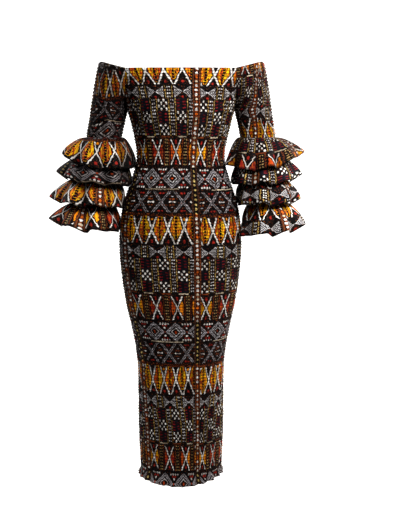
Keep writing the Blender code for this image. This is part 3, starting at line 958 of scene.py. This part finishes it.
def math_node(operation, *values):
    tree = next(value.tree for value in values if isinstance(value, Field))
    node = add_node(tree, "ShaderNodeMath", dict(enumerate(values)), operation=operation)
    return Field(tree, node.outputs[0])


def fract(value):
    return math_node("FRACT", value)


def floor(value):
    return math_node("FLOOR", value)


def near(value, middle, reach):
    """1 where value is within reach of middle, and 0 elsewhere."""
    return math_node("COMPARE", value, middle, reach)


def between(value, low, high):
    return near(value, (low + high) / 2, (high - low) / 2)


class Paint:
    """The colour of a surface, laid on layer by layer, within the band that was set last."""

    def __init__(self, tree, colour):
        self.tree = tree
        self.within = None
        node = add_node(tree, "ShaderNodeRGB")
        node.outputs[0].default_value = (*colour, 1.0)
        self.socket = node.outputs[0]

    def band(self, down, low, high):
        """Sets a band, and returns its own coordinate, 0 at its top and 1 at its bottom."""
        y = (down - low) * (1 / (high - low))
        self.within = near(y, 0.5, 0.5)
        return y

    def lay(self, colour, where):
        if self.within is not None:
            where = where & self.within
        if isinstance(colour, tuple):
            colour = (*colour, 1.0)
        inputs = {0: where, 6: self.socket, 7: colour}
        self.socket = add_node(self.tree, "ShaderNodeMix", inputs, data_type="RGBA").outputs[2]


# ---------------------------------------------------------------- the print

GROUND = (0.0012, 0.0008, 0.0012)
NAVY = (0.0050, 0.0045, 0.0080)
WHITE = (0.92, 0.90, 0.86)
CREAM = (0.60, 0.50, 0.36)
YELLOW = (0.95, 0.55, 0.007)
GOLD = (0.92, 0.41, 0.006)
AMBER = (0.82, 0.25, 0.006)
ORANGE = (0.68, 0.12, 0.006)
RED_ORANGE = (0.50, 0.055, 0.006)
RED = (0.36, 0.018, 0.010)
DARK_RED = (0.21, 0.008, 0.010)
RUST = (0.22, 0.045, 0.010)
BROWN = (0.055, 0.021, 0.010)
OCHRE = (0.50, 0.32, 0.085)
DIM_OCHRE = (0.48, 0.31, 0.115)
STRAW = (0.72, 0.53, 0.18)
DARK_GREY = (0.018, 0.017, 0.019)
PALE_GREY = (0.46, 0.44, 0.47)
SILVER = (0.66, 0.64, 0.65)


def steps_of(x, first, pitch):
    """Distance from the nearest of evenly spaced places, and that place's number."""
    turns = (x - first) * (1 / pitch) + 0.5
    return (fract(turns) - 0.5) * pitch, floor(turns)


def spot(x, y, half_width, half_height):
    """1 inside an oval round the place where x and y are 0."""
    return (x * x * half_width ** -2 + y * y * half_height ** -2) < 1.0


def pick(tree, number, first, colours):
    """A colour from a short row of colours, by a number that counts up from first."""
    place = (number + (0.5 - first)) * (1 / len(colours))
    node = add_node(tree, "ShaderNodeValToRGB", {0: place})
    node.color_ramp.interpolation = "CONSTANT"
    elements = node.color_ramp.elements
    while len(elements) < len(colours):
        elements.new(1.0)
    for index, colour in enumerate(colours):
        elements[index].position = index / len(colours)
        elements[index].color = (*colour, 1.0)
    return node.outputs[0]


def ladder(paint, distance, y, rungs, edge, rung):
    """Two columns of dots between two edge lines; distance is from the ladder's middle."""
    paint.lay(edge, near(distance, 3.6, 0.45) & (paint.flecks > 0.45))
    paint.lay(rung, spot(distance - 1.20, fract(y * rungs) - 0.5, 0.66, 0.21))


def dye_halves(paint, across, number, colours, streaks, where):
    """Fills evenly spaced figures, half by half, with a row of colours and streaks of others."""
    paint.lay(pick(paint.tree, number * 2 + (across > 0), -2, colours), where)
    for colour, level in streaks:
        paint.lay(colour, (paint.streaks > level) & where)


# Each band is drawn by rule. x counts the repeat's parts across, and y goes from 0 at the band's
# top to 1 at its bottom.

def lozenge_band(paint, x, y):
    across, number = steps_of(x, 18.0, 18.0)
    crossing = 0.52 - number * 0.040
    arm = math_node("MAXIMUM", (crossing - y) * 10.0, (y - crossing) * 14.4)
    beyond = abs(across) - arm
    to_centre = 9.0 - abs(across)
    off_middle = y - 0.52
    fill = (beyond > 2.1) & (to_centre < 6.2 - off_middle * off_middle * 13)
    colours = [GOLD, AMBER, GOLD, RED_ORANGE, YELLOW, ORANGE, RED_ORANGE, AMBER, GOLD, ORANGE, YELLOW, GOLD]
    streaks = [(ORANGE, 0.53), (RED_ORANGE, 0.575), (BROWN, 0.66)]
    dye_halves(paint, across, number, colours, streaks, fill)
    paint.lay(YELLOW, (paint.streaks < 0.43) & fill)
    paint.lay(GROUND, (to_centre < 1.35) & (fract(y * 9) > 0.14))
    paint.lay(GROUND, near(to_centre, 2.5, 0.7) & (paint.flecks > 0.54))
    paint.lay(WHITE, near(beyond, 0.0, 0.84 * paint.line) & near(y, 0.5, 0.475))
    paint.lay(AMBER, spot(across, y - 0.10, 1.3, 0.05) & (fract(number * 0.5) > 0.25))
    paint.lay(RED, spot(across, y - 0.88, 1.3, 0.06))


def bow_band(paint, x, y):
    across, _ = steps_of(x, 12.3, 29.4)
    distance = abs(across)
    height = abs(y - 0.5) * 2
    edge = distance - height * 9.6
    wing = (distance < 8.9) & (edge > 0.2)
    slope = y * 14.3
    hatch = (fract((across + slope) * 0.42) > 0.40) & (fract((across - slope) * 0.42) > 0.40)
    paint.lay(DARK_GREY, wing)
    paint.lay(SILVER, wing & (hatch | (edge < 1.0)))
    paint.lay(RED, spot(distance, y - 0.90, 1.2, 0.09))
    ladder(paint, 14.7 - distance, y, 4.0, OCHRE, WHITE)


def checker_band(paint, x, y):
    across, number = steps_of(x, 6.5, 21.0)
    tall = y * 3
    row, inner = floor(tall), fract(tall)
    odd = fract((number + row) * 0.5) > 0.25
    cell = abs(across) < 5.7
    column_place, line_place = across * (1 / 2.85), inner * 4.2 - 0.1
    staggered = fract((floor(column_place) + floor(line_place)) * 0.5) < 0.25
    dots = spot(fract(column_place) - 0.5, fract(line_place) - 0.5, 0.35, 0.44)
    paint.lay(WHITE, dots & staggered & cell & near(inner, 0.5, 0.47) & ~odd)
    paint.lay(NAVY, cell & odd)
    teeth = near(abs(across + 0.4), 3.3, 1.6) & near(fract(inner * 4.0 + (across > 0) * 0.5), 0.5, 0.16)
    paint.lay(DARK_RED, teeth & near(inner, 0.5, 0.44) & odd)
    ladder(paint, 10.5 - abs(across), y, 11.0, OCHRE, SILVER)


def checker_line(paint, x, y):
    across, number = steps_of(x, 6.5, 21.0)
    cell = abs(across) < 5.7
    paint.lay(RUST, cell)
    paint.lay(CREAM, cell & (fract(number * 0.5) > 0.25))


def cross_band(paint, x, y):
    across, number = steps_of(x, 10.5, 25.5)
    distance = abs(across)
    beyond = distance - abs(y - 0.5) * 14.4
    off_middle = y - 0.5
    fill = (beyond > 2.0) & (distance < 7.2 - off_middle * off_middle * 12)
    colours = [AMBER, AMBER, GOLD, GOLD, RED, DARK_RED, RED_ORANGE, AMBER, AMBER, GOLD]
    dye_halves(paint, across, number, colours, [(ORANGE, 0.54), (BROWN, 0.63)], fill)
    paint.lay(WHITE, near(beyond, 0.0, 0.72 * paint.line) & near(y, 0.5, 0.45))
    paint.lay(RED, spot(distance, abs(y - 0.5) - 0.36, 1.3, 0.07))
    ladder(paint, 12.75 - distance, y, 9.0, RUST, DIM_OCHRE)


def diamond_band(paint, x, y):
    across, _ = steps_of(x, 0.0, 28.67)
    distance = abs(across)
    height = abs(y - 0.5) * 2
    out = distance * (1 / 13.6) + height * 0.95
    along = distance - height * 12.9
    ring = near(out, 0.78, 0.21)
    lines = (fract(out * 4.76 + 0.28) > 0.42) & (fract(along * 0.36) > 0.16)
    paint.lay(DARK_GREY, ring)
    paint.lay(PALE_GREY, ring & lines)
    paint.lay(SILVER, near(out, 0.42, 0.045))
    paint.lay(RED_ORANGE, spot(distance, height, 1.2, 0.12))
    from_tip = 14.33 - distance
    row_of_dots = spot(fract(from_tip * (1 / 3.4)) - 0.5, height - 0.88, 0.32, 0.09)
    paint.lay(WHITE, row_of_dots & (from_tip < 6.8))
    paint.lay(RED, spot(from_tip - 2.1, height - 0.66, 1.5, 0.11))
    paint.lay(WHITE, spot(from_tip, height - 0.42, 1.1, 0.09))
    paint.lay(RED_ORANGE, spot(from_tip, height, 1.0, 0.09))


def diamond_line(paint, x, y):
    paint.lay(CREAM, between(x, 22.0, 66.0))


def lattice_band(paint, x, y):
    across, _ = steps_of(x, 19.5, 25.7)
    distance = abs(across)
    height = abs(y - 0.5)
    arm = height * 21.6
    dashes = fract((arm + distance) * 0.55) > 0.34
    limits = between(x, 5.5, 84.5) & (height < 0.46)
    paint.lay(PALE_GREY, near(abs(distance - arm), 1.20, 0.58) & dashes & limits)
    from_middle = 12.85 - distance
    paint.lay(SILVER, (from_middle < 3.4) & (height < 0.014))
    paint.lay(WHITE, spot(from_middle - 3.0, height, 1.0, 0.034))
    paint.lay(RUST, spot(from_middle - 1.6, height - 0.13, 1.2, 0.032))
    paint.lay(PALE_GREY, spot(from_middle, height - 0.23, 1.4, 0.022))
    paint.lay(RED, spot(distance - 1.8, height - 0.38, 1.2, 0.035))


def last_line(paint, x, y):
    paint.lay(RUST, paint.flecks > 0.54)


# The bands of the repeat from top to bottom, as shares of its drop
BANDS = table("draw top bottom", [
    (lozenge_band, 0.000, 0.185),
    (bow_band, 0.190, 0.274),
    (checker_band, 0.274, 0.500),
    (checker_line, 0.503, 0.510),
    (cross_band, 0.514, 0.689),
    (diamond_band, 0.702, 0.826),
    (diamond_line, 0.829, 0.8345),
    (lattice_band, 0.838, 0.982),
    (last_line, 0.983, 1.000),
])


STRIPE_DOTS = 34            # in a repeat
STRIPE_MIX = 0.381966       # picks the dots' colours in no order that shows
DARK_STRIPE = (0.695, 0.985)    # from here to here it is dark, with small dots


def stripe(paint, x, down):
    """The dotted stripe that runs down the cloth, over the bands."""
    distance = REPEAT_PARTS / 2 - abs(x - REPEAT_PARTS / 2)
    dark_part = between(down, *DARK_STRIPE)
    paint.within = None
    paint.lay(GROUND, distance < 4.6)
    paint.lay(BROWN, near(distance, 3.4, 0.9))
    paint.lay(RUST, near(distance, 2.9, 0.45) & (paint.flecks > 0.45) & ~dark_part)
    count = down * STRIPE_DOTS
    number = fract(floor(count) * STRIPE_MIX)
    colours = [WHITE, WHITE, CREAM, ORANGE, WHITE, CREAM]
    dots = pick(paint.tree, number * 6, 0.5, colours)
    level = fract(count) - 0.5
    paint.lay(RUST, (distance < 1.3) & (abs(level) > 0.28) & ~dark_part)
    paint.lay(dots, spot(distance, level, 1.5, 0.28) & ~dark_part)
    paint.lay(STRAW, spot(distance, level, 1.2, 0.26) & dark_part)


PRINT_EVEN = (0.56, 1.0, 1.0)   # a repeat is taller than wide; with this, noise on it isn't
WOBBLE = 0.030              # how far the print strays across, in repeats,
WAVER = 0.014               # and down


def noise(tree, vector, scale, detail, stretch=PRINT_EVEN):
    mapping = add_node(tree, "ShaderNodeMapping", {"Vector": vector, "Scale": stretch})
    inputs = {"Vector": mapping.outputs["Vector"], "Scale": scale, "Detail": detail}
    return Field(tree, add_node(tree, "ShaderNodeTexNoise", inputs).outputs[0])


def make_print(name, line):
    """The wax print as a node group: from a place on the cloth, in repeats, to its colour.

    Its white lines are so many times their usual width.
    """
    tree = bpy.data.node_groups.new(name, "ShaderNodeTree")
    tree.interface.new_socket("Place", in_out="INPUT", socket_type="NodeSocketVector")
    tree.interface.new_socket("Colour", in_out="OUTPUT", socket_type="NodeSocketColor")
    place = add_node(tree, "NodeGroupInput").outputs["Place"]
    split = add_node(tree, "ShaderNodeSeparateXYZ", {0: place})
    astray = (noise(tree, place, 60.0, 1.0) - 0.5) * WOBBLE
    x = fract(Field(tree, split.outputs[0]) + astray) * REPEAT_PARTS
    astray = (noise(tree, place, 55.0, 1.0) - 0.5) * WAVER
    down = fract(Field(tree, split.outputs[1]) + astray)

    paint = Paint(tree, GROUND)
    paint.line = line
    paint.streaks = noise(tree, place, 66.0, 1.6, (0.90, 0.38, 1.0))
    paint.flecks = noise(tree, place, 105.0, 1.0)
    paint.lay(BROWN, paint.flecks > 0.615)
    paint.lay(RUST, paint.flecks > 0.675)
    paint.lay(DARK_GREY, paint.flecks < 0.33)
    for band in BANDS:
        band.draw(paint, x, paint.band(down, band.top, band.bottom))
    stripe(paint, x, down)
    add_node(tree, "NodeGroupOutput", {"Colour": paint.socket})
    return tree


# The cloths: their print's white lines are line times their usual width, thread is how light the
# painted shade along a row of elastic thread leaves them, and puckers is the height of their small puckers
CLOTHS = table("material group line roughness thread puckers", [
    ("shirred_wax_print", "wax_print", 1.0, 0.78, 0.80, 0.0014),
    ("ruffle_wax_print", "wax_print_fine", 0.70, 0.66, 1.0, 0.0004),
])
THREAD_FADE = 6.0           # the painted shade by a thread is gone at the pitch divided by this
DYE = (0.62, 1.38)          # the cloth's level where its dye is darkest and lightest
WEAVE = 0.00010


def attribute(tree, name):
    return Field(tree, add_node(tree, "ShaderNodeAttribute", attribute_name=name).outputs["Fac"])


def make_cloth(cloth):
    """Waxed cotton: the print, uneven dye, painted light and shade, fine weave, and the puckers of the
    elastic rows.
    """
    material = bpy.data.materials.new(cloth.material)
    material.use_nodes = True
    tree = material.node_tree
    place = add_node(tree, "ShaderNodeUVMap", uv_map="cloth").outputs["UV"]
    dye = noise(tree, place, 130.0, 3.0)
    from_thread = abs(fract(attribute(tree, "elastic") + 0.5) - 0.5)
    # painted shade along each row of elastic thread
    lit = cloth.thread + math_node("MINIMUM", from_thread * THREAD_FADE, 1.0) * (1 - cloth.thread)
    shade = attribute(tree, "shade") * lit
    # uneven dye times the painted light and shade, warmer where darker, and no lighter than BRIGHTEST
    darkest, lightest = DYE
    level = math_node("MINIMUM", (darkest + dye * (lightest - darkest)) * shade, BRIGHTEST)
    channels = {slot: math_node("POWER", level, warmth) for slot, warmth in enumerate(SHADE_WARMTH)}
    dye_and_painted_shade = add_node(tree, "ShaderNodeCombineColor", channels).outputs[0]
    printed = make_print(cloth.group, cloth.line)
    colour = add_node(tree, "ShaderNodeGroup", {"Place": place}, node_tree=printed).outputs["Colour"]
    print_dye_and_painted_shade = add_node(tree, "ShaderNodeMix", {0: 1.0, 6: colour, 7: dye_and_painted_shade}, data_type="RGBA",
                      blend_type="MULTIPLY")

    puckers = noise(tree, place, 120.0, 2.0, (1.0, 0.42, 1.0))
    weave = noise(tree, place, 900.0, 1.0)
    relief = puckers * cloth.puckers + weave * WEAVE
    bump = add_node(tree, "ShaderNodeBump", {"Strength": 1.0, "Distance": 1.0, "Height": relief})
    surface = {
        "Base Color": print_dye_and_painted_shade.outputs[2],
        "Roughness": cloth.roughness,
        "Specular IOR Level": 0.05,
        "Sheen Weight": 0.006,
        "Sheen Roughness": 0.45,
        "Normal": bump.outputs["Normal"],
    }
    for slot, value in surface.items():
        connect(tree, value, tree.nodes["Principled BSDF"].inputs[slot])
    return material


# ---------------------------------------------------------------- the dress

PANEL_SEED = 11
SLEEVE_SEED = 21
RUFFLE_SEED = 31


def dress_piece(piece, node):
    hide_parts(node)
    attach(piece, "root")


def main():
    make_camera()
    make_lights()
    make_room()
    shirred, crisp = (make_cloth(cloth) for cloth in CLOTHS)
    for seed, facing in enumerate(("front", "back"), PANEL_SEED):
        panel = make_panel(facing, shirred, seed)
        dress_piece(panel, "dress_" + facing)
    for seed, look in enumerate(SLEEVE_PRINTS, SLEEVE_SEED):
        sleeve = make_sleeve(look, shirred, seed)
        dress_piece(sleeve, "sleeve_" + look.side)
    for seed, ruffle in enumerate(RUFFLES, RUFFLE_SEED):
        band, cut = make_ruffle(ruffle, crisp, seed)
        dress_piece(band, f"ruffle_{ruffle.side}_{ruffle.tier}")


main()
